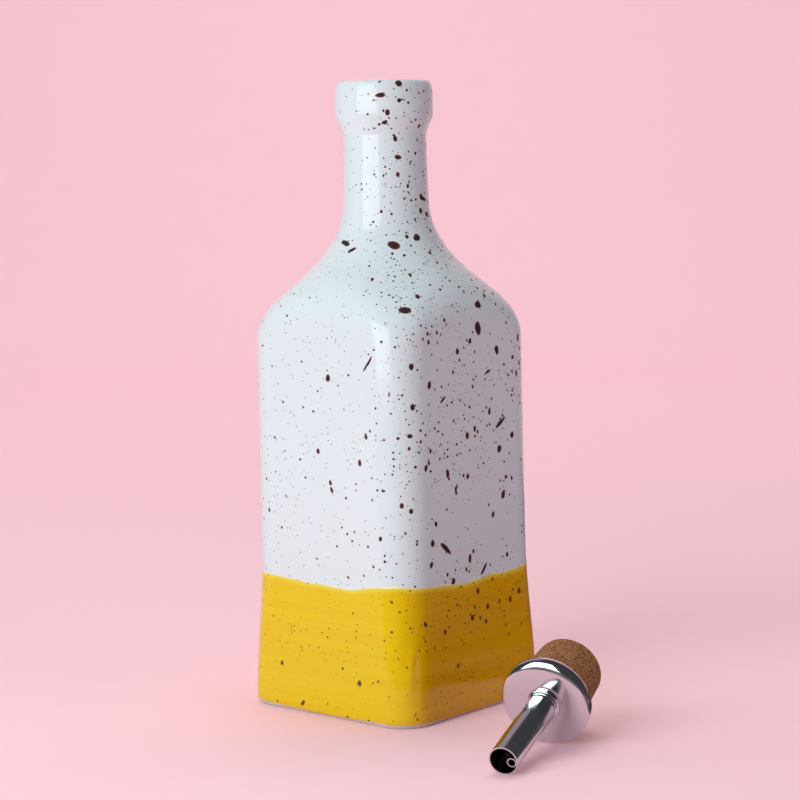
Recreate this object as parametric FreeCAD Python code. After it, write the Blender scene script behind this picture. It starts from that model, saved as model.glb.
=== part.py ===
import FreeCAD, Part
import math
import os

# Olive oil bottle with its pourer lying beside it. Millimetres, +Z up.
# The bottle stands on Z = 0 about the Z axis, its flat sides square to X and Y.

# --- Bottle: body ---
BOTTLE_HEIGHT = 240.0       # floor to the top of the lip
BODY_WIDTH = 81.0           # across the flats above the foot
FOOT_WIDTH = 85.2           # across the flats at the widest, just above the foot
FOOT_FLARE_HEIGHT = 56.0    # the foot's swelling has died out at this height
FOOT_ROUND_IN = 2.4         # how far the bottom edge turns in
FOOT_ROUND_UP = 3.0         # how high the bottom edge's rounding reaches
FOOT_CORNER_RADIUS = 12.5   # upright corners at the foot
TOP_CORNER_RADIUS = 14.0    # upright corners under the shoulder
BODY_WALL = 4.4
FLOOR_THICKNESS = 5.5
FLOOR_FILLET = 6.0          # inside, where the walls meet the floor

# --- Bottle: shoulder, neck and lip ---
SHOULDER_HEIGHT = 160.0     # the shoulder's cone meets the middle of a flat side here
SHOULDER_SLOPE = 1.22       # run of the cone over its rise
SHOULDER_BLEND = 11.0       # softness where the cone meets the square body
NECK_BLEND = 16.0           # softness where the cone meets the neck
MOUTH_BORE = 26.2
MOUTH_ROUND = 2.2           # rounding of the mouth's inner edge
NECK_WALL = 3.1             # just under the lip
NECK_ROOT_SWELL = 1.4       # how much the neck's radius grows down to its root
LIP_SWELL = 2.85            # how far the lip stands out from the neck
LIP_LENGTH = 21.0           # crease to top
LIP_FLANK = 9.0             # the part of that in which the lip swells out
LIP_CROWN_DROP = 6.5        # height of the rounding over the lip's outer edge
LIP_CROWN_RUN = 2.5         # width of the same rounding

# --- Pourer: cork ---
CORK_LENGTH = 23.4
CORK_TIP_PLAY = 1.1         # the small end is this much thinner than the mouth
CORK_SQUEEZE = 1.6          # the large end is this much thicker than the mouth
CORK_EDGE = 0.9             # chamfer of the free edge

# --- Pourer: flange, a domed cap on the cork's large end ---
FLANGE_OVERHANG = 2.8       # beyond the cork's large end, all round
FLANGE_EDGE = 0.5           # chamfer of its back edge
FLANGE_RIM = 1.6            # straight part of its side
FLANGE_DOME = 3.6           # from there to its flat front, where the collar sits

# --- Pourer: spout with the collar at its root ---
TUBE_DIAMETER = 10.6
TUBE_WALL = 0.5
TUBE_PLAY = 0.15            # round the tube, in the cork and in the flange
SPOUT_REACH = 45.8          # from the cork to the tip
COLLAR_OUT = 1.0            # how far the collar stands out from the tube
COLLAR_HEIGHT = 1.2
STEP_OUT = 0.65             # the same for the step on top of it
STEP_HEIGHT = 1.0
ROOT_OUT = 0.3              # and for the spout's root, which tapers
ROOT_TAPER = 9.0            # to the tube's diameter over this length
COLLAR_EDGE = 0.25          # chamfers of the collar and its step

# --- Pourer: air tube inside the spout ---
AIR_TUBE_DIAMETER = 3.5
AIR_TUBE_WALL = 0.45
AIR_TUBE_PLAY = 0.15        # between the two tubes' walls
AIR_TUBE_SETBACK = 0.6      # behind the spout's mouth
AIR_TUBE_TURN_DEG = -14.0   # its place round the bore, from its level +Y side

# --- Where the pourer lies ---
POURER_GAP = 49.2           # from the foot's side to the point under the flange
POURER_Y = -21.6            # of the same point
POURER_YAW_DEG = -73.1      # heading of the spout

# --- Fineness of the bottle's surface ---
POLES_ROUND = 96
ROW_STEP = 4.0
SIDES = 8                   # faces round the bottle
BANDS = 10                  # faces from the base over the lip to the inner floor

NECK_RADIUS = MOUTH_BORE / 2.0 + NECK_WALL
CREASE_Z = BOTTLE_HEIGHT - LIP_LENGTH
NECK_ROOT_Z = SHOULDER_HEIGHT + (BODY_WIDTH / 2.0 - NECK_RADIUS) / SHOULDER_SLOPE
FLANGE_RADIUS = (MOUTH_BORE + CORK_SQUEEZE) / 2.0 + FLANGE_OVERHANG
FLANGE_HEIGHT = FLANGE_RIM + FLANGE_DOME
COLLAR_RADIUS = TUBE_DIAMETER / 2.0 + COLLAR_OUT


def smooth_min(a, b, k):
    h = max(k - abs(a - b), 0.0) / k
    return min(a, b) - h * h * k / 4.0


def smooth_max(a, b, k):
    return -smooth_min(-a, -b, k)


def ease(t):
    t = min(max(t, 0.0), 1.0)
    return t * t * (3.0 - 2.0 * t)


def round_loss(t, power=2.0):
    """How far a unit quarter round has turned in at share t of its height."""
    t = min(max(t, 0.0), 1.0)
    return 1.0 - (1.0 - t ** power) ** (1.0 / power)


def rounded_square(theta, half, radius):
    """Distance from the axis to the edge of a rounded square, towards theta."""
    t = theta % (math.pi / 2.0)
    t = min(t, math.pi / 2.0 - t)
    radius = min(radius, half)
    straight = half - radius
    if half * math.tan(t) <= straight:
        return half / math.cos(t)
    along = straight * (math.cos(t) + math.sin(t))
    across = straight * (math.cos(t) - math.sin(t))
    return along + math.sqrt(max(radius * radius - across * across, 0.0))


def body_half(z):
    """Half the width across the flats, before the bottom edge is rounded."""
    flare = (FOOT_WIDTH - BODY_WIDTH) / 2.0
    rise = (z - FOOT_ROUND_UP) / (FOOT_FLARE_HEIGHT - FOOT_ROUND_UP)
    return BODY_WIDTH / 2.0 + flare * (1.0 - ease(rise))


def corner_radius(z):
    return FOOT_CORNER_RADIUS + (TOP_CORNER_RADIUS - FOOT_CORNER_RADIUS) * ease(z / SHOULDER_HEIGHT)


def cone_radius(z):
    return BODY_WIDTH / 2.0 + SHOULDER_SLOPE * (SHOULDER_HEIGHT - z)


def neck_radius(z):
    down = min(max((CREASE_Z - z) / (CREASE_Z - NECK_ROOT_Z), 0.0), 1.0)
    lip = LIP_SWELL * ease((z - CREASE_Z) / LIP_FLANK)
    return NECK_RADIUS + NECK_ROOT_SWELL * down * down + lip


def outer_radius(theta, z):
    bell = smooth_max(neck_radius(z), cone_radius(z), NECK_BLEND)
    square = rounded_square(theta, body_half(z), corner_radius(z))
    radius = smooth_min(square, bell, SHOULDER_BLEND)
    radius -= FOOT_ROUND_IN * round_loss(1.0 - z / FOOT_ROUND_UP)
    crown = 1.0 - (BOTTLE_HEIGHT - z) / LIP_CROWN_DROP
    return radius - LIP_CROWN_RUN * round_loss(crown, 2.6)


def inner_radius(theta, z):
    slant_wall = BODY_WALL * math.sqrt(1.0 + SHOULDER_SLOPE ** 2)
    bell = smooth_max(MOUTH_BORE / 2.0, cone_radius(z) - slant_wall, NECK_BLEND / 2.0)
    square = rounded_square(theta, body_half(z) - BODY_WALL, corner_radius(z) - BODY_WALL)
    radius = smooth_min(square, bell, SHOULDER_BLEND)
    radius -= FLOOR_FILLET * round_loss(1.0 - (z - FLOOR_THICKNESS) / FLOOR_FILLET)
    return radius + MOUTH_ROUND * round_loss(1.0 - (BOTTLE_HEIGHT - z) / MOUTH_ROUND)


def steps(start, end, step):
    """Even heights from start to end, start left out."""
    count = max(1, int(math.ceil(abs(end - start) / step)))
    return [start + (end - start) * (i + 1) / count for i in range(count)]


def turn_out(start, end, count):
    """Heights up a quarter round that begins flat, start left out."""
    return [start + (end - start) * (1.0 - math.cos(math.pi / 2.0 * i / count)) for i in range(1, count + 1)]


def turn_in(start, end, count):
    """Heights along a quarter round that ends flat, start left out."""
    return [start + (end - start) * math.sin(math.pi / 2.0 * i / count) for i in range(1, count + 1)]


def directions():
    """Angles round the bottle, closer together at the corners than on the flats."""
    out = []
    for i in range(POLES_ROUND):
        even = 2.0 * math.pi * i / POLES_ROUND
        out.append(even + 0.45 * math.sin(4.0 * even) / 4.0)
    return out


def bottle():
    bend_low = SHOULDER_HEIGHT - 28.0
    bend_high = NECK_ROOT_Z + 12.0
    outside = [0.0] + turn_out(0.0, FOOT_ROUND_UP, 6)
    outside += steps(FOOT_ROUND_UP, bend_low, 2.0 * ROW_STEP)
    outside += steps(bend_low, bend_high, ROW_STEP / 2.0)
    outside += steps(bend_high, CREASE_Z - 2.0, ROW_STEP)
    outside += steps(CREASE_Z - 2.0, BOTTLE_HEIGHT - LIP_CROWN_DROP, ROW_STEP / 3.0)
    outside += turn_in(BOTTLE_HEIGHT - LIP_CROWN_DROP, BOTTLE_HEIGHT, 10)
    inside = [BOTTLE_HEIGHT] + turn_out(BOTTLE_HEIGHT, BOTTLE_HEIGHT - MOUTH_ROUND, 5)
    inside += steps(BOTTLE_HEIGHT - MOUTH_ROUND, bend_high, 2.0 * ROW_STEP)
    inside += steps(bend_high, bend_low - BODY_WALL, ROW_STEP / 2.0)
    inside += steps(bend_low - BODY_WALL, FLOOR_THICKNESS + FLOOR_FILLET, 2.0 * ROW_STEP)
    inside += turn_in(FLOOR_THICKNESS + FLOOR_FILLET, FLOOR_THICKNESS, 6)
    rows = [(z, outer_radius) for z in outside] + [(z, inner_radius) for z in inside]
    poles = []
    for angle in directions():
        ray = []
        for z, radius in rows:
            r = radius(angle, z)
            ray.append(FreeCAD.Vector(r * math.cos(angle), r * math.sin(angle), z))
        poles.append(ray)
    across = len(rows) - 3
    surface = Part.BSplineSurface()
    surface.buildFromPolesMultsKnots(
        poles, [1] * (POLES_ROUND + 1), [4] + [1] * (across - 1) + [4],
        [float(i) for i in range(POLES_ROUND + 1)], [float(i) for i in range(across + 1)],
        True, False, 3, 3)
    faces = []
    bands = [round(i * across / BANDS) for i in range(BANDS + 1)]
    for side in range(SIDES):
        left = float(side * POLES_ROUND // SIDES)
        right = float((side + 1) * POLES_ROUND // SIDES)
        for low, high in zip(bands, bands[1:]):
            patch = surface.copy()
            patch.segment(left, right, float(low), float(high))
            faces.append(patch.toShape())
    for level in (0.0, FLOOR_THICKNESS):
        rim = [e for f in faces for e in f.Edges
               if abs(e.BoundBox.ZMin - level) < 1e-6 and abs(e.BoundBox.ZMax - level) < 1e-6]
        faces.append(Part.Face(Part.Wire(Part.sortEdges(rim)[0])))
    shell = Part.Shell(faces)
    shell.sewShape()
    solid = Part.Solid(shell)
    if solid.Volume < 0.0:
        solid.reverse()
    return solid


# The pourer is turned about its own axis, which is +X here: X = 0 where the
# flange sits on the cork, the spout towards +X, +Z on its upper side.

def turned(points):
    """A solid of revolution about X from its (x, radius) outline."""
    corners = [FreeCAD.Vector(x, 0.0, r) for x, r in points]
    face = Part.Face(Part.makePolygon(corners + corners[:1]))
    return face.revolve(FreeCAD.Vector(0, 0, 0), FreeCAD.Vector(1, 0, 0), 360.0)


def cork_radius(x):
    """Radius of the cork's side, x counted from its large end, towards the free end."""
    large = (MOUTH_BORE + CORK_SQUEEZE) / 2.0
    small = (MOUTH_BORE - CORK_TIP_PLAY) / 2.0
    return large + (small - large) * x / CORK_LENGTH


def pourer_cork():
    bore = TUBE_DIAMETER / 2.0 + TUBE_PLAY
    side = cork_radius(CORK_LENGTH - CORK_EDGE)
    end = cork_radius(CORK_LENGTH) - CORK_EDGE
    return turned([(0.0, bore), (0.0, cork_radius(0.0)), (CORK_EDGE - CORK_LENGTH, side),
                   (-CORK_LENGTH, end), (-CORK_LENGTH, bore)])


def flange_dome():
    """The rounded front of the flange, from its side in to the collar's seat."""
    rim = FLANGE_RADIUS
    seat = COLLAR_RADIUS + FLANGE_EDGE
    poles = [(FLANGE_RIM, rim), (FLANGE_RIM + 0.6 * FLANGE_DOME, rim),
             (FLANGE_RIM + 0.93 * FLANGE_DOME, seat + 0.58 * (rim - seat)),
             (FLANGE_HEIGHT, seat + 0.28 * (rim - seat)), (FLANGE_HEIGHT, seat)]
    dome = Part.BSplineCurve()
    dome.buildFromPolesMultsKnots(
        [FreeCAD.Vector(x, 0, r) for x, r in poles], [4, 1, 4], [0.0, 0.5, 1.0], False, 3)
    return dome


def pourer_flange():
    bore = TUBE_DIAMETER / 2.0 + TUBE_PLAY
    rim = FLANGE_RADIUS
    corners = [(FLANGE_HEIGHT, COLLAR_RADIUS + FLANGE_EDGE), (FLANGE_HEIGHT, bore),
               (0.0, bore), (0.0, rim - FLANGE_EDGE), (FLANGE_EDGE, rim), (FLANGE_RIM, rim)]
    points = [FreeCAD.Vector(x, 0, r) for x, r in corners]
    edges = [flange_dome().toShape()] + [Part.makeLine(a, b) for a, b in zip(points, points[1:])]
    face = Part.Face(Part.Wire(edges))
    return face.revolve(FreeCAD.Vector(0, 0, 0), FreeCAD.Vector(1, 0, 0), 360.0)


def pourer_spout():
    outer = TUBE_DIAMETER / 2.0
    collar = COLLAR_RADIUS
    step = outer + STEP_OUT
    collar_top = FLANGE_HEIGHT + COLLAR_HEIGHT
    step_top = collar_top + STEP_HEIGHT
    return turned([
        (-CORK_LENGTH, outer - TUBE_WALL), (-CORK_LENGTH, outer), (FLANGE_HEIGHT, outer),
        (FLANGE_HEIGHT, collar - COLLAR_EDGE), (FLANGE_HEIGHT + COLLAR_EDGE, collar),
        (collar_top - COLLAR_EDGE, collar), (collar_top, collar - COLLAR_EDGE), (collar_top, step),
        (step_top - COLLAR_EDGE, step), (step_top, step - COLLAR_EDGE),
        (step_top, outer + ROOT_OUT), (step_top + ROOT_TAPER, outer),
        (SPOUT_REACH, outer), (SPOUT_REACH, outer - TUBE_WALL)])


def pourer_air_tube():
    outer = AIR_TUBE_DIAMETER / 2.0
    inner = outer - AIR_TUBE_WALL
    end = SPOUT_REACH - AIR_TUBE_SETBACK
    offset = TUBE_DIAMETER / 2.0 - TUBE_WALL - AIR_TUBE_PLAY - outer
    turn = math.radians(AIR_TUBE_TURN_DEG)
    tube = turned([(-CORK_LENGTH, inner), (-CORK_LENGTH, outer), (end, outer), (end, inner)])
    tube.translate(FreeCAD.Vector(0, offset * math.cos(turn), offset * math.sin(turn)))
    return tube


def resting_pitch():
    """How far the spout points down with the flange and the tip both on the floor."""
    dome = flange_dome()
    samples = [dome.value(i / 60.0) for i in range(61)]
    low, high = 0.0, math.pi / 3.0
    for _ in range(60):
        pitch = (low + high) / 2.0
        flange = max(p.x * math.sin(pitch) + p.z * math.cos(pitch) for p in samples)
        tip = SPOUT_REACH * math.sin(pitch) + TUBE_DIAMETER / 2.0 * math.cos(pitch)
        if tip < flange:
            low = pitch
        else:
            high = pitch
    touch = max(samples, key=lambda p: p.x * math.sin(pitch) + p.z * math.cos(pitch))
    return pitch, flange, touch


PITCH, LIFT, TOUCH = resting_pitch()


def lay_down(shape):
    """Lay the pourer on the floor, on its flange's rim and its spout's tip."""
    back = TOUCH.x * math.cos(PITCH) - TOUCH.z * math.sin(PITCH)
    shape.rotate(FreeCAD.Vector(0, 0, 0), FreeCAD.Vector(0, 1, 0), math.degrees(PITCH))
    shape.translate(FreeCAD.Vector(-back, 0, LIFT))
    shape.rotate(FreeCAD.Vector(0, 0, 0), FreeCAD.Vector(0, 0, 1), POURER_YAW_DEG)
    shape.translate(FreeCAD.Vector(FOOT_WIDTH / 2.0 + POURER_GAP, POURER_Y, 0))
    return shape


os.makedirs("parts", exist_ok=True)
bottle().exportStep("parts/bottle.step")
lay_down(pourer_cork()).exportStep("parts/pourer_cork.step")
lay_down(pourer_flange()).exportStep("parts/pourer_flange.step")
lay_down(pourer_spout()).exportStep("parts/pourer_spout.step")
lay_down(pourer_air_tube()).exportStep("parts/pourer_air_tube.step")
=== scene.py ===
import math
import bmesh
import bpy
import numpy as np
from mathutils import Matrix, Vector


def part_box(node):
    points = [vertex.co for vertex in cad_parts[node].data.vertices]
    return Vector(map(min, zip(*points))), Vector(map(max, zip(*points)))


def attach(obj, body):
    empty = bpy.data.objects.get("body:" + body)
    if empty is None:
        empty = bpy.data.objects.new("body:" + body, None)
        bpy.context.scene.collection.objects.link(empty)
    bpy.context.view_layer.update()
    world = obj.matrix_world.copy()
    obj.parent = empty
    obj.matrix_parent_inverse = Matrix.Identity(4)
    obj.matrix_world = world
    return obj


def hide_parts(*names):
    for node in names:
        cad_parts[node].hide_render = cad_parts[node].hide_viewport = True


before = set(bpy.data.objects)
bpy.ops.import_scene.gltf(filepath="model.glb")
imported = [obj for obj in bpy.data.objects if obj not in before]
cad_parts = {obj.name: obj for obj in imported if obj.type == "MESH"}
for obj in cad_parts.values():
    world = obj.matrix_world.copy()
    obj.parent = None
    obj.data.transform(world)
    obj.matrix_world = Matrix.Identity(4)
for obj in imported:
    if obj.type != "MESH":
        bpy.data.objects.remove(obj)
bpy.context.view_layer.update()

# Height and foot come from the bottle's CAD node; the rest of its form repeats the part's rules. Metres.
MM = 0.001
HIGHEST_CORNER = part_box("bottle")[1]
HEIGHT = HIGHEST_CORNER.z
FOOT_HALF = HIGHEST_CORNER.x
FLARE = 2.1 * MM              # how far the foot stands out from the body
BODY_HALF = FOOT_HALF - FLARE
FOOT_ROUND_IN, FOOT_ROUND_UP, FLARE_TOP = 2.4 * MM, 3.0 * MM, 56.0 * MM
FOOT_CORNER, TOP_CORNER = 12.5 * MM, 14.0 * MM
WALL, FLOOR, FLOOR_FILLET = 4.4 * MM, 5.5 * MM, 6.0 * MM
SHOULDER, SLOPE, SHOULDER_BLEND, NECK_BLEND = 160.0 * MM, 1.22, 11.0 * MM, 16.0 * MM
NECK, NECK_SWELL, LIP_SWELL = 16.2 * MM, 1.4 * MM, 2.85 * MM
CREASE, LIP_FLANK = HEIGHT - 21.0 * MM, 9.0 * MM
CROWN_DROP, CROWN_RUN = 6.5 * MM, 2.5 * MM
MOUTH, MOUTH_ROUND = 13.1 * MM, 2.2 * MM
NECK_ROOT = SHOULDER + (BODY_HALF - NECK) / SLOPE

# Glaze
DIP_LINE = 51.1 * MM          # mean height of the yellow dip
BARE_STRIP = 1.4 * MM         # unglazed clay at the foot
YELLOW_COAT = 0.16 * MM       # how far the yellow stands out from the white
BARE_STEP = 0.30 * MM         # how far the bare clay stands back from the glaze
WAVE_DEPTH = 0.10 * MM        # unevenness of the wall
RUN_HEIGHT = 0.45 * MM        # how far the run of glaze stands out
OFF_GLAZE = 100.0             # dip_mm and bare_mm inside the bottle, far from either edge


def smooth_min(a, b, k):
    """The smaller of two values, with a round blend k wide where they meet."""
    h = np.maximum(k - np.abs(a - b), 0.0) / k
    return np.minimum(a, b) - h * h * k / 4.0


def smooth_max(a, b, k):
    return -smooth_min(-a, -b, k)


def ease(t):
    """A smooth step from 0 to 1 while t goes from 0 to 1."""
    t = np.clip(t, 0.0, 1.0)
    return t * t * (3.0 - 2.0 * t)


def round_loss(t, power=2.0):
    """What a rounded edge takes away, from 0 at t = 0 to 1 at the very edge, t = 1."""
    t = np.clip(t, 0.0, 1.0)
    return 1.0 - (1.0 - t ** power) ** (1.0 / power)


def rounded_square(angle, half, radius):
    """Distance from the axis to a square with rounded corners, in the direction of angle."""
    t = np.mod(angle, math.pi / 2.0)
    t = np.minimum(t, math.pi / 2.0 - t)
    straight = half - radius
    along = straight * (np.cos(t) + np.sin(t))
    across = straight * (np.cos(t) - np.sin(t))
    corner = along + np.sqrt(np.maximum(radius * radius - across * across, 0.0))
    return np.where(half * np.tan(t) <= straight, half / np.cos(t), corner)


def body_half(z):
    rise = (z - FOOT_ROUND_UP) / (FLARE_TOP - FOOT_ROUND_UP)
    return BODY_HALF + FLARE * (1.0 - ease(rise))


def corner_radius(z):
    return FOOT_CORNER + (TOP_CORNER - FOOT_CORNER) * ease(z / SHOULDER)


def cone_radius(z):
    return BODY_HALF + SLOPE * (SHOULDER - z)


def outer_radius(angle, z):
    down = np.clip((CREASE - z) / (CREASE - NECK_ROOT), 0.0, 1.0)
    neck = NECK + NECK_SWELL * down * down + LIP_SWELL * ease((z - CREASE) / LIP_FLANK)
    bell = smooth_max(neck, cone_radius(z), NECK_BLEND)
    radius = smooth_min(rounded_square(angle, body_half(z), corner_radius(z)), bell, SHOULDER_BLEND)
    radius = radius - FOOT_ROUND_IN * round_loss(1.0 - z / FOOT_ROUND_UP)
    return radius - CROWN_RUN * round_loss(1.0 - (HEIGHT - z) / CROWN_DROP, 2.6)


def inner_radius(angle, z):
    slant_wall = WALL * math.sqrt(1.0 + SLOPE ** 2)
    bell = smooth_max(MOUTH + 0.0 * z, cone_radius(z) - slant_wall, NECK_BLEND / 2.0)
    square = rounded_square(angle, body_half(z) - WALL, corner_radius(z) - WALL)
    radius = smooth_min(square, bell, SHOULDER_BLEND)
    radius = radius - FLOOR_FILLET * round_loss(1.0 - (z - FLOOR) / FLOOR_FILLET)
    return radius + MOUTH_ROUND * round_loss(1.0 - (HEIGHT - z) / MOUTH_ROUND)


def dip_line(angle):
    """Height of the yellow's edge: it climbs a little at the corners and wanders."""
    wander = 0.45 * np.sin(7.0 * angle + 0.9) + 0.3 * np.sin(11.0 * angle - 0.6)
    wander = wander + 0.1 * np.sin(23.0 * angle + 2.0)
    return DIP_LINE + MM * (-1.1 * np.cos(4.0 * angle) + wander)


def bare_line(angle):
    """Height of the bare clay: a little more of it shows at the corners."""
    wander = 0.12 * np.sin(5.0 * angle) + 0.06 * np.sin(17.0 * angle)
    return BARE_STRIP + MM * (-0.35 * np.cos(4.0 * angle) + wander)


def waviness(angle, z):
    """The slight unevenness of a slip-cast wall, 0 to 1."""
    a = np.sin(3.0 * angle + 31.0 * z) * np.sin(43.0 * z + 1.3)
    b = np.sin(8.0 * angle - 57.0 * z + 0.7) * np.sin(71.0 * z + 5.0 * angle)
    return np.clip(0.5 + 0.3 * a + 0.2 * b, 0.0, 1.0)


def glaze_run(angle, z):
    """A drop of thick glaze that ran down the front corner."""
    middle = math.radians(-42.0) - 2.4 * (31.0 * MM - z)
    width = 1.1 * MM + 0.7 * MM * ease((24.0 * MM - z) / (8.0 * MM))
    side = (angle - middle) * 51.0 * MM / width
    length = ease((z - 13.0 * MM) / (2.0 * MM)) * ease((33.0 * MM - z) / (9.0 * MM))
    return np.exp(-side * side) * length


def heights(*stretches):
    """Row heights from (start, end, step) stretches that follow each other."""
    rows = [stretches[0][0]]
    for start, end, step in stretches:
        count = max(1, round(abs(end - start) / step))
        rows += [start + (end - start) * (i + 1) / count for i in range(count)]
    return rows


def quarter(start, end, count, ends_flat):
    """Row heights round a quarter turn, closest together at its end if that is flat, else at its start."""
    turns = [math.pi / 2.0 * i / count for i in range(1, count + 1)]
    return [start + (end - start) * (math.sin(t) if ends_flat else 1.0 - math.cos(t)) for t in turns]


def grid_faces(rows, around):
    """The faces of a tube of rows, each with that many points around."""
    faces = []
    for row in range(rows - 1):
        this, above = row * around, (row + 1) * around
        for i in range(around):
            following = (i + 1) % around
            faces.append((this + i, this + following, above + following, above + i))
    return faces


def mesh_object(name, points, faces, smooth=True):
    mesh = bpy.data.meshes.new(name)
    mesh.from_pydata([tuple(p) for p in points], [], faces)
    mesh.polygons.foreach_set("use_smooth", [smooth] * len(mesh.polygons))
    mesh.update()
    obj = bpy.data.objects.new(name, mesh)
    bpy.context.collection.objects.link(obj)
    return obj


def outside_rows():
    """Row heights up the outside, close together at the foot, the dip line and the lip."""
    first = [0.0] + quarter(0.0, 0.8 * MM, 4, False)
    wall = heights((0.8 * MM, 4.0 * MM, 0.25 * MM), (4.0 * MM, 46.0 * MM, 1.0 * MM),
                   (46.0 * MM, 57.0 * MM, 0.3 * MM), (57.0 * MM, 132.0 * MM, 1.5 * MM),
                   (132.0 * MM, 190.0 * MM, 1.0 * MM), (190.0 * MM, CREASE, 1.4 * MM),
                   (CREASE, HEIGHT - CROWN_DROP, 0.7 * MM))
    return first + wall[1:] + quarter(HEIGHT - CROWN_DROP, HEIGHT, 18, True)


def inside_rows():
    """Row heights from the mouth down to the floor."""
    mouth = quarter(HEIGHT, HEIGHT - MOUTH_ROUND, 8, False)
    wall = heights((mouth[-1], NECK_ROOT, 3.0 * MM), (NECK_ROOT, 132.0 * MM, 2.0 * MM),
                   (132.0 * MM, 12.0 * MM, 6.0 * MM))
    return mouth + wall[1:] + quarter(12.0 * MM, FLOOR, 6, True)


def make_bottle():
    """The whole bottle, with its distance above the dip line and the bare clay kept at each point."""
    around = 280
    even = 2.0 * math.pi * np.arange(around) / around
    angle = even + 0.45 * np.sin(4.0 * even) / 4.0              # closer together at the corners
    signed = (angle + math.pi) % (2.0 * math.pi) - math.pi
    outside, inside = outside_rows(), inside_rows()
    points, dip, bare = [], [], []
    for z in outside:
        over_line = (z - dip_line(signed)) / MM
        over_bare = (z - bare_line(signed)) / MM
        radius = outer_radius(angle, z)
        radius = radius - YELLOW_COAT * ease(over_line / 0.9 + 0.5)
        radius = radius - BARE_STEP * (1.0 - ease(over_bare / 0.5 + 0.5)) * min(1.0, z / (0.5 * MM))
        radius = radius - WAVE_DEPTH * waviness(signed, z) * min(1.0, z / (10.0 * MM))
        radius = radius + RUN_HEIGHT * glaze_run(signed, z)
        points += zip(radius * np.cos(angle), radius * np.sin(angle), [z] * around)
        dip += list(over_line)
        bare += list(over_bare)
    for z in inside:
        radius = inner_radius(angle, z)
        points += zip(radius * np.cos(angle), radius * np.sin(angle), [z] * around)
    dip += [OFF_GLAZE] * (around * len(inside))
    bare += [OFF_GLAZE] * (around * len(inside))
    rows = len(outside) + len(inside)
    faces = grid_faces(rows, around)
    under, floor = len(points), len(points) + 1
    points += [(0.0, 0.0, 0.0), (0.0, 0.0, FLOOR)]
    dip += [-50.0, OFF_GLAZE]
    bare += [-5.0, OFF_GLAZE]
    last = (rows - 1) * around
    faces += [(under, (i + 1) % around, i) for i in range(around)]
    faces += [(floor, last + i, last + (i + 1) % around) for i in range(around)]
    obj = mesh_object("bottle_glazed", points, faces)
    for name, values in (("dip_mm", dip), ("bare_mm", bare)):
        layer = obj.data.attributes.new(name, "FLOAT", "POINT")
        layer.data.foreach_set("value", values)
    return obj


# --- Shader helpers ---

class Nodes:
    """Short names for the nodes that the materials use."""

    def __init__(self, name):
        self.material = bpy.data.materials.new(name)
        self.material.use_nodes = True
        self.tree = self.material.node_tree
        self.shader = self.tree.nodes["Principled BSDF"]
        self.place = self.tree.nodes.new("ShaderNodeTexCoord").outputs["Object"]

    def add(self, kind, **settings):
        node = self.tree.nodes.new(kind)
        for key, value in settings.items():
            setattr(node, key, value)
        return node

    def feed(self, socket, value):
        if isinstance(value, bpy.types.NodeSocket):
            self.tree.links.new(value, socket)
        else:
            socket.default_value = value

    def math(self, operation, *values, clamp=False):
        node = self.add("ShaderNodeMath", operation=operation, use_clamp=clamp)
        for socket, value in zip(node.inputs, values):
            self.feed(socket, value)
        return node.outputs[0]

    def ramp(self, value, start, end, to_min=0.0, to_max=1.0, smooth=True):
        node = self.add("ShaderNodeMapRange", interpolation_type="SMOOTHSTEP" if smooth else "LINEAR")
        levels = {"Value": value, "From Min": start, "From Max": end, "To Min": to_min, "To Max": to_max}
        for key, item in levels.items():
            self.feed(node.inputs[key], item)
        return node.outputs["Result"]

    def mix(self, share, first, second):
        node = self.add("ShaderNodeMix", data_type="RGBA")
        self.feed(node.inputs["Factor"], share)
        self.feed(node.inputs[6], first)                # the colour pair A and B
        self.feed(node.inputs[7], second)
        return node.outputs[2]

    def noise(self, scale, detail=2.0, vector=None, roughness=0.5):
        node = self.add("ShaderNodeTexNoise")
        self.feed(node.inputs["Vector"], vector or self.place)
        for key, item in (("Scale", scale), ("Detail", detail), ("Roughness", roughness)):
            node.inputs[key].default_value = item
        return node.outputs["Fac"]

    def attribute(self, name):
        return self.add("ShaderNodeAttribute", attribute_name=name).outputs["Fac"]

    def vector(self, operation, *values, out=0):
        node = self.add("ShaderNodeVectorMath", operation=operation)
        for socket, value in zip(node.inputs, values):
            self.feed(socket, value)
        return node.outputs[out]

    def wobble(self, scale, size):
        """The place, pushed about by size metres, for edges that aren't quite round."""
        node = self.add("ShaderNodeTexNoise")
        self.feed(node.inputs["Vector"], self.place)
        node.inputs["Scale"].default_value = scale
        node.inputs["Detail"].default_value = 1.0
        shift = self.vector("SUBTRACT", node.outputs["Color"], (0.5, 0.5, 0.5))
        scaled = self.vector("MULTIPLY", shift, (size, size, size))
        return self.vector("ADD", self.place, scaled)

    def bump(self, height, strength, distance):
        node = self.add("ShaderNodeBump")
        self.feed(node.inputs["Height"], height)
        node.inputs["Strength"].default_value = strength
        node.inputs["Distance"].default_value = distance
        self.tree.links.new(node.outputs["Normal"], self.shader.inputs["Normal"])


def colour(r, g, b):
    """A colour by its display values, 0 to 255."""
    def linear(c):
        c /= 255.0
        return c / 12.92 if c <= 0.04045 else ((c + 0.055) / 1.055) ** 2.4
    return (linear(r), linear(g), linear(b), 1.0)


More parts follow.
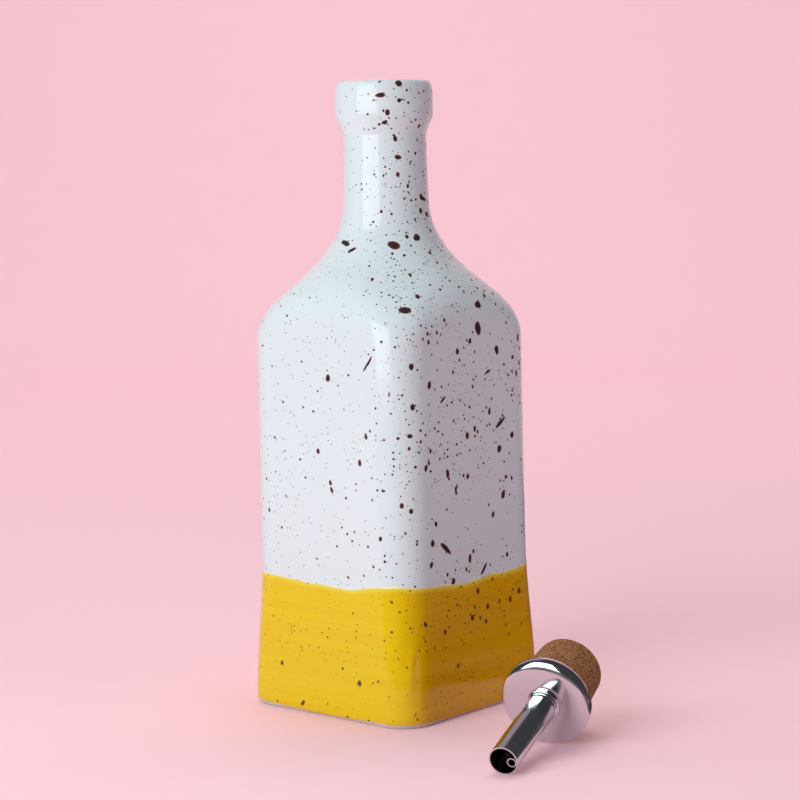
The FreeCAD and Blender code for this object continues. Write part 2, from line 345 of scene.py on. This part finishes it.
# The largest specks on the two sides that show most: place across and height, long and short half
# size in millimetres, and lean in degrees.
RIGHT_SIDE_SPECKS = [
    (5, 146, 2.9, 1.9, 15), (0, 141.5, 1.3, 1.0, -20), (16, 137, 1.9, 1.3, 10), (6, 155, 1.6, 1.9, 0),
    (13, 158, 1.0, 0.8, 0), (-24, 127, 1.7, 1.1, -15), (-16.5, 121, 2.1, 0.7, -55),
    (17.5, 109, 4.0, 0.9, -58), (24.5, 103.5, 1.5, 1.0, 0), (16.5, 99, 1.8, 1.4, -20),
    (-14.5, 93, 2.0, 1.0, 10), (-27, 96.5, 1.5, 1.0, -10), (18.5, 81, 1.9, 1.3, -20),
    (-24, 68, 1.5, 1.2, 10), (-16.5, 65, 4.3, 1.0, 52), (-2.5, 59, 1.9, 1.1, 0),
    (-25, 60, 1.4, 1.0, -30), (6, 54, 3.3, 0.8, -42), (-12.5, 52, 1.5, 1.1, -30), (12, 74, 1.4, 0.9, 0),
    (-10, 86, 1.8, 0.8, 5), (2, 108, 1.3, 0.9, -10), (11, 114, 1.6, 0.8, -15), (-22, 75, 1.2, 0.9, 0),
    (30, 141, 1.7, 0.9, 5), (10, 129, 2.6, 0.5, -62), (28, 127, 1.5, 0.8, 0), (-2.5, 36.5, 1.2, 1.2, 0),
    (-29.5, 38.5, 1.1, 0.9, 0), (14, 40, 1.2, 0.6, -40),
]
LEFT_SIDE_SPECKS = [
    (24.5, 135.5, 4.2, 0.6, -38), (4.5, 129.5, 1.6, 1.3, 0), (-1.5, 101.5, 1.2, 1.0, 0),
    (19.5, 98.5, 1.4, 1.1, 0), (23, 108.5, 1.1, 0.9, 0), (4.5, 90, 1.1, 0.9, 20),
    (5, 87.3, 1.4, 0.8, 25), (17.5, 15.5, 1.2, 1.0, 0), (-21, 18, 1.1, 0.9, 0),
    (-10.5, 4, 1.5, 0.8, -50), (29, 71, 0.9, 0.7, 0),
]
# Those on the corner, the shoulder, the neck and the lip: the way they face in degrees, then height,
# long and short half size in millimetres, and lean in degrees.
ROUND_SPECKS = [
    (-41, 155, 1.5, 2.6, 0), (-41, 109, 1.0, 1.1, 0), (-42, 178, 2.2, 2.6, -30),
    (-15, 180.5, 1.4, 1.9, 30), (-97, 179, 3.2, 0.9, 75), (-84, 176.5, 2.2, 0.8, -60),
    (10, 195, 2.6, 0.8, 72), (16, 189, 1.1, 1.5, 0), (2, 190.5, 1.1, 0.9, 0), (-53, 234, 2.2, 1.0, -80),
    (-31, 232, 1.0, 0.9, 0), (-48, 224, 0.9, 1.3, 20), (-30, 238.6, 1.4, 1.6, 0),
    (34, 222, 1.8, 0.8, 10), (30, 215, 1.3, 0.8, 0), (-31, 211, 1.0, 1.5, -15),
]
RIGHT_SIDE, LEFT_SIDE = 0.0, -90.0      # the ways that the two sides face
SPECKS = [(RIGHT_SIDE, *speck) for speck in RIGHT_SIDE_SPECKS]
SPECKS += [(LEFT_SIDE, *speck) for speck in LEFT_SIDE_SPECKS]
SPECKS += [(facing, 0.0, *rest) for facing, *rest in ROUND_SPECKS]


def speck_place(facing, across, height):
    """A point on the glaze: across the middle of the side that faces that way."""
    facing = math.radians(facing)
    angle = facing + math.atan2(across * MM, BODY_HALF)
    radius = float(outer_radius(np.array([angle]), height * MM)[0])
    return radius * math.cos(angle), radius * math.sin(angle), height * MM


def hand_specks(n):
    """1 in the middle of each listed speck, falling to 0 at its edge."""
    place = n.wobble(380.0, 1.0 * MM)
    total = 0.0
    for facing, across, height, long_half, short_half, lean in SPECKS:
        node = n.add("ShaderNodeMapping", vector_type="TEXTURE")
        n.feed(node.inputs["Vector"], place)
        node.inputs["Location"].default_value = speck_place(facing, across, height)
        node.inputs["Rotation"].default_value = (math.radians(lean), 0.0, math.radians(facing))
        node.inputs["Scale"].default_value = (2.0 * MM, short_half * MM, long_half * MM)
        away = n.vector("LENGTH", node.outputs[0], out=1)
        total = n.math("MAXIMUM", total, n.math("SUBTRACT", 1.0, away, clamp=True))
    return total


def speck_layer(n, cell, radius, share, seed, height_scale=1.0):
    """Scattered specks: that share of the cells hold one each, radius metres at most."""
    place = n.vector("ADD", n.wobble(700.0, 0.35 * MM), (seed, 0.37 * seed, 0.71 * seed))
    place = n.vector("MULTIPLY", place, (1.0, 1.0, height_scale))
    node = n.add("ShaderNodeTexVoronoi")
    n.feed(node.inputs["Vector"], place)
    node.inputs["Scale"].default_value = 1.0 / cell
    node.inputs["Randomness"].default_value = 1.0
    pick = n.add("ShaderNodeSeparateColor")
    n.feed(pick.inputs[0], node.outputs["Color"])
    size = n.ramp(pick.outputs[1], 0.0, 1.0, 0.45 * radius / cell, radius / cell, smooth=False)
    inside = n.math("SUBTRACT", 1.0, n.math("DIVIDE", node.outputs["Distance"], size), clamp=True)
    return n.math("MULTIPLY", inside, n.math("LESS_THAN", pick.outputs[0], share))


# Scattered specks, finest first: cell and largest radius in millimetres, the share of cells that hold
# one where they are fewest and most, seed, and scale of the height.
SPECK_LAYERS = [(1.6, 0.38, 0.4, 0.9, 0.31, 1.0), (2.6, 0.68, 0.16, 1.0, 1.73, 1.0),
                (4.9, 1.15, 0.03, 1.0, 2.39, 0.75)]


def glaze_material():
    """White over a yellow dip, clear and glossy, with iron specks, and bare clay at the foot."""
    n = Nodes("speckled_glaze")
    dip, bare = n.attribute("dip_mm"), n.attribute("bare_mm")
    split = n.add("ShaderNodeSeparateXYZ")
    n.feed(split.inputs[0], n.place)
    rightward = n.math("ADD", split.outputs[0], split.outputs[1])       # 0 at the front corner

    white = n.mix(n.noise(45.0, 3.0), colour(226, 234, 238), colour(221, 230, 235))
    layered = n.add("ShaderNodeMapping")
    n.feed(layered.inputs["Vector"], n.place)
    layered.inputs["Scale"].default_value = (8.0, 8.0, 420.0)
    bands = n.noise(1.0, 3.0, layered.outputs[0])
    # Painted shade: the yellow deepens to amber towards the right-hand side, which faces away from the key
    # light; the first colour of each pair is the glaze's own.
    painted_shade_right = n.ramp(rightward, -12.0 * MM, 20.0 * MM)                    # painted shade, deeper on the right-hand side
    darker = n.mix(painted_shade_right, colour(233, 193, 2), colour(224, 164, 0))
    lighter = n.mix(painted_shade_right, colour(236, 200, 8), colour(228, 172, 0))
    deep = n.mix(n.ramp(bands, 0.35, 0.7), darker, lighter)
    thin = colour(240, 212, 60)
    edge_noise = n.math("MULTIPLY", n.math("SUBTRACT", n.noise(130.0, 3.0), 0.5), 0.8)
    rough_dip = n.math("ADD", dip, edge_noise)
    yellow = n.mix(n.ramp(rough_dip, -2.4, -0.3), deep, thin)
    above = n.mix(n.ramp(rough_dip, 0.05, 0.9), colour(238, 230, 190), white)
    glaze = n.mix(n.ramp(rough_dip, -0.25, 0.1), yellow, above)

    crowd = n.ramp(rightward, -30.0 * MM, 22.0 * MM)
    crowd = n.math("MULTIPLY", crowd, n.ramp(dip, -1.0, 1.0, 0.35, 1.0))
    patchy = n.ramp(n.noise(22.0), 0.3, 0.62, 0.55, 1.0)
    specks = hand_specks(n)
    for cell, radius, fewest, most, seed, height_scale in SPECK_LAYERS:
        share = n.math("MULTIPLY", patchy, n.ramp(crowd, 0.0, 1.0, fewest, most))
        layer = speck_layer(n, cell * MM, radius * MM, share, seed, height_scale)
        specks = n.math("MAXIMUM", specks, layer)
    cover = n.ramp(specks, 0.02, 0.14)
    cover = n.math("MULTIPLY", cover, n.ramp(dip, -1.5, 0.5, 0.9, 0.97))
    inky = n.mix(n.ramp(specks, 0.08, 0.42), colour(134, 50, 34), colour(44, 8, 6))
    glazed = n.mix(cover, glaze, inky)

    clay = n.mix(n.noise(700.0, 3.0), colour(226, 216, 208), colour(204, 190, 180))
    is_bare = n.ramp(bare, -0.15, 0.15, 1.0, 0.0)
    n.feed(n.shader.inputs["Base Color"], n.mix(is_bare, glazed, clay))
    n.feed(n.shader.inputs["Roughness"], n.ramp(is_bare, 0.0, 1.0, 0.09, 0.8))
    n.shader.inputs["Specular IOR Level"].default_value = 0.4
    fine = n.math("MULTIPLY", n.noise(900.0, 1.0), 0.05)
    n.bump(n.math("ADD", n.noise(95.0, 2.0), fine), 0.12, 0.6 * MM)
    return n.material


def steel_material():
    """Polished steel, a little duller in patches where it was handled."""
    n = Nodes("polished_steel")
    n.shader.inputs["Base Color"].default_value = colour(212, 212, 218)
    n.shader.inputs["Metallic"].default_value = 1.0
    n.feed(n.shader.inputs["Roughness"], n.ramp(n.noise(60.0, 3.0), 0.3, 0.7, 0.096, 0.144))
    return n.material


def cork_material():
    """Pressed cork: fine granules of two browns, some of them nearly black."""
    n = Nodes("pressed_cork")
    grain = n.add("ShaderNodeTexVoronoi")
    n.feed(grain.inputs["Vector"], n.wobble(1500.0, 0.4 * MM))
    grain.inputs["Scale"].default_value = 2800.0
    tone = n.add("ShaderNodeSeparateColor")
    n.feed(tone.inputs[0], grain.outputs["Color"])
    base = n.mix(tone.outputs[0], colour(198, 140, 90), colour(128, 74, 40))
    dark = n.math("LESS_THAN", tone.outputs[1], 0.17)
    n.feed(n.shader.inputs["Base Color"], n.mix(dark, base, colour(66, 32, 16)))
    n.shader.inputs["Roughness"].default_value = 0.85
    n.bump(n.math("ADD", grain.outputs["Distance"], n.noise(1500.0, 2.0)), 0.5, 0.25 * MM)
    return n.material


def plain_material(name, shade, rough):
    n = Nodes(name)
    n.shader.inputs["Base Color"].default_value = shade
    n.shader.inputs["Roughness"].default_value = rough
    return n.material


def crisp_copy(node, material):
    """The same turned metal form with its rounds shaded smooth and its edges kept sharp."""
    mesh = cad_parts[node].data.copy()
    form = bmesh.new()
    form.from_mesh(mesh)
    bmesh.ops.remove_doubles(form, verts=form.verts, dist=0.002 * MM)
    form.to_mesh(mesh)
    form.free()
    mesh.polygons.foreach_set("use_smooth", [True] * len(mesh.polygons))
    mesh.set_sharp_from_angle(angle=math.radians(24.0))
    mesh.materials.clear()
    mesh.materials.append(material)
    obj = bpy.data.objects.new(node.replace("pourer", "turned"), mesh)
    bpy.context.collection.objects.link(obj)
    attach(obj, "root")
    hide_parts(node)


bottle = make_bottle()
bottle.data.materials.append(glaze_material())
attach(bottle, "root")
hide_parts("bottle")

steel = steel_material()
for node in ("pourer_flange", "pourer_spout", "pourer_air_tube"):
    crisp_copy(node, steel)
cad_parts["pourer_cork"].data.materials[0] = cork_material()

# --- Studio: a plain sheet that runs from under the bottle up behind it, in a dim room ---
VIEW = math.radians(-48.6)                      # the camera stands this way from the bottle
FORWARD = Vector((-math.cos(VIEW), -math.sin(VIEW), 0.0))
SIDEWAYS = Vector((-math.sin(VIEW), math.cos(VIEW), 0.0))
PAPER = colour(248, 204, 213)
PAPER_LIFT = 0.16                               # evens out the light on the paper
FAR_PAPER = colour(222, 186, 195)               # what lies past the sheet's edge
ROOM_LIGHT = (0.9, 0.95, 1.0, 1.0)
ROOM_STRENGTH, WALL_STRENGTH = 0.08, 0.06
SHEET_FRONT, SHEET_BACK, SHEET_BEND, SHEET_TOP, SHEET_HALF = -2.2, 1.3, 0.9, 2.6, 2.6
CARD_RIGHT, CARD_FRONT, CARD_BACK, CARD_REACH = 0.085, -0.17, 0.5, 2.4
CARD_LIFT = 1.5 * MM
WALL_HALF, WALL_FOOT, WALL_TOP = 3.4, -0.2, 3.6


def in_view(right, away, up):
    """A place by how far right of the bottle, behind it and up it is, as the camera sees it."""
    return SIDEWAYS * right + FORWARD * away + Vector((0.0, 0.0, up))


def seen_ray(tree):
    """1 for what is seen, straight, in a reflection or through glass, and 0 for light on the object."""
    path = tree.nodes.new("ShaderNodeLightPath")
    total = path.outputs["Is Camera Ray"]
    for kind in ("Is Glossy Ray", "Is Transmission Ray"):
        node = tree.nodes.new("ShaderNodeMath")
        node.operation = "MAXIMUM"
        tree.links.new(total, node.inputs[0])
        tree.links.new(path.outputs[kind], node.inputs[1])
        total = node.outputs[0]
    return total


def only_reflected(obj):
    obj.visible_camera = obj.visible_diffuse = obj.visible_shadow = obj.visible_transmission = False


def make_sheet():
    """The paper: flat on the table, then bent up behind."""
    turns = [math.radians(a) for a in range(0, 91, 6)]
    path = [(SHEET_FRONT, 0.0), (0.0, 0.0)]
    path += [(SHEET_BACK + SHEET_BEND * math.sin(t), SHEET_BEND * (1.0 - math.cos(t))) for t in turns]
    path += [(SHEET_BACK + SHEET_BEND, SHEET_TOP)]
    points = [in_view(side, away, up) for away, up in path for side in (-SHEET_HALF, SHEET_HALF)]
    faces = [(2 * i, 2 * i + 1, 2 * i + 3, 2 * i + 2) for i in range(len(path) - 1)]
    sheet = mesh_object("studio_sheet", points, faces)
    paper = plain_material("pink_paper", PAPER, 0.9)
    tree = paper.node_tree
    shader = tree.nodes["Principled BSDF"]
    shader.inputs["Specular IOR Level"].default_value = 0.0
    shader.inputs["Emission Color"].default_value = PAPER
    lift = tree.nodes.new("ShaderNodeMath")
    lift.operation = "MULTIPLY"
    lift.inputs[1].default_value = PAPER_LIFT
    tree.links.new(seen_ray(tree), lift.inputs[0])
    tree.links.new(lift.outputs[0], shader.inputs["Emission Strength"])
    sheet.data.materials.append(paper)
    return sheet


def make_dark_card():
    """A dark card on the paper in front of the bottle and to its right, which only reflections see:
    painted shade in the reflections of the glaze and the steel, where the paper is lit.
    """
    outline = [(CARD_RIGHT, CARD_BACK), (CARD_REACH, CARD_BACK), (CARD_REACH, SHEET_FRONT),
               (-CARD_REACH, SHEET_FRONT), (-CARD_REACH, CARD_FRONT), (CARD_RIGHT, CARD_FRONT)]
    points = [in_view(side, away, CARD_LIFT) for side, away in outline]
    card = mesh_object("dark_card", points, [(0, 1, 2, 5), (5, 2, 3, 4)])
    n = Nodes("painted_dark_reflection")
    # Painted reflection: dark, with paler pink patches.
    patches = n.ramp(n.noise(9.0, 3.0), 0.42, 0.62)
    n.feed(n.shader.inputs["Base Color"], n.mix(patches, colour(36, 30, 38), colour(150, 118, 128)))
    n.shader.inputs["Roughness"].default_value = 0.9
    card.data.materials.append(n.material)
    only_reflected(card)
    return card


def make_dim_walls():
    """The dim room round the sheet, which only reflections see."""
    corners = [(-1, -1), (1, -1), (1, 1), (-1, 1)]
    points = [in_view(WALL_HALF * x, WALL_HALF * y, z) for z in (WALL_FOOT, WALL_TOP) for x, y in corners]
    faces = [(4, 5, 6, 7)] + [(i, (i + 1) % 4, 4 + (i + 1) % 4, 4 + i) for i in range(4)]
    walls = mesh_object("dark_walls", points, faces, smooth=False)
    grey = plain_material("dim_wall", (0.0, 0.0, 0.0, 1.0), 0.9)
    shader = grey.node_tree.nodes["Principled BSDF"]
    shader.inputs["Specular IOR Level"].default_value = 0.0
    shader.inputs["Emission Color"].default_value = ROOM_LIGHT
    shader.inputs["Emission Strength"].default_value = WALL_STRENGTH
    walls.data.materials.append(grey)
    only_reflected(walls)
    return walls


def make_world():
    """Dim light from all round, and a pale distance for what is seen past the sheet."""
    world = bpy.data.worlds.new("studio")
    world.use_nodes = True
    tree = world.node_tree
    room = tree.nodes["Background"]
    room.inputs["Color"].default_value = ROOM_LIGHT
    room.inputs["Strength"].default_value = ROOM_STRENGTH
    distance = tree.nodes.new("ShaderNodeBackground")
    distance.inputs["Color"].default_value = FAR_PAPER
    blend = tree.nodes.new("ShaderNodeMixShader")
    tree.links.new(seen_ray(tree), blend.inputs[0])
    tree.links.new(room.outputs[0], blend.inputs[1])
    tree.links.new(distance.outputs[0], blend.inputs[2])
    tree.links.new(blend.outputs[0], tree.nodes["World Output"].inputs[0])
    return world


def soft_light(name, place, aim, size, watts, shade):
    """A rectangular softbox at place that points at aim."""
    light = bpy.data.lights.new(name, "AREA")
    light.shape = "RECTANGLE"
    light.size, light.size_y = size
    light.energy = watts
    light.color = shade
    obj = bpy.data.objects.new(name, light)
    bpy.context.collection.objects.link(obj)
    obj.location = place
    obj.rotation_euler = (aim - place).to_track_quat("-Z", "Y").to_euler()
    return obj


def make_camera():
    """Nearly level, just under the lip."""
    data = bpy.data.cameras.new("camera")
    data.lens, data.sensor_width = 100.0, 36.0
    camera = bpy.data.objects.new("camera", data)
    bpy.context.collection.objects.link(camera)
    pan, pitch, roll = math.radians(0.24), math.radians(6.04), math.radians(-1.31)
    level = FORWARD * math.cos(pan) + SIDEWAYS * math.sin(pan)
    look = level * math.cos(pitch) - Vector((0.0, 0.0, math.sin(pitch)))
    right = SIDEWAYS * math.cos(pan) - FORWARD * math.sin(pan)
    up = right.cross(look)
    rolled_right = right * math.cos(roll) + up * math.sin(roll)
    rolled_up = up * math.cos(roll) - right * math.sin(roll)
    turn = Matrix((rolled_right, rolled_up, -look)).transposed()
    camera.matrix_world = Matrix.Translation(in_view(0.0, -0.859, 0.208)) @ turn.to_4x4()
    return camera


sheet, dark_card, dim_walls = make_sheet(), make_dark_card(), make_dim_walls()
WHITE = (1.0, 1.0, 1.0)
KEY_SHADE, FILL_SHADE = (0.87, 0.99, 0.98), (0.93, 0.94, 1.0)
key = soft_light("key", in_view(-0.58, -0.68, 0.47), in_view(0.0, 0.0, 0.42), (0.8, 0.85), 8.3, KEY_SHADE)
fill = soft_light("fill", in_view(1.5, -0.7, 0.7), in_view(0.0, 0.0, 0.1), (1.2, 1.2), 4.2, FILL_SHADE)
top = soft_light("top", in_view(-0.2, 0.35, 2.2), in_view(-0.1, 0.25, 0.0), (2.2, 2.0), 14.5, WHITE)
back = soft_light("back", in_view(0.0, 0.9, 2.3), in_view(0.0, 2.2, 0.6), (3.0, 0.6), 26.0, WHITE)
for light in (fill, top, back):
    light.visible_glossy = False                # only the key light shows as a highlight
bpy.context.scene.world = make_world()
bpy.context.scene.camera = make_camera()
bpy.context.scene.view_settings.view_transform = "Standard"
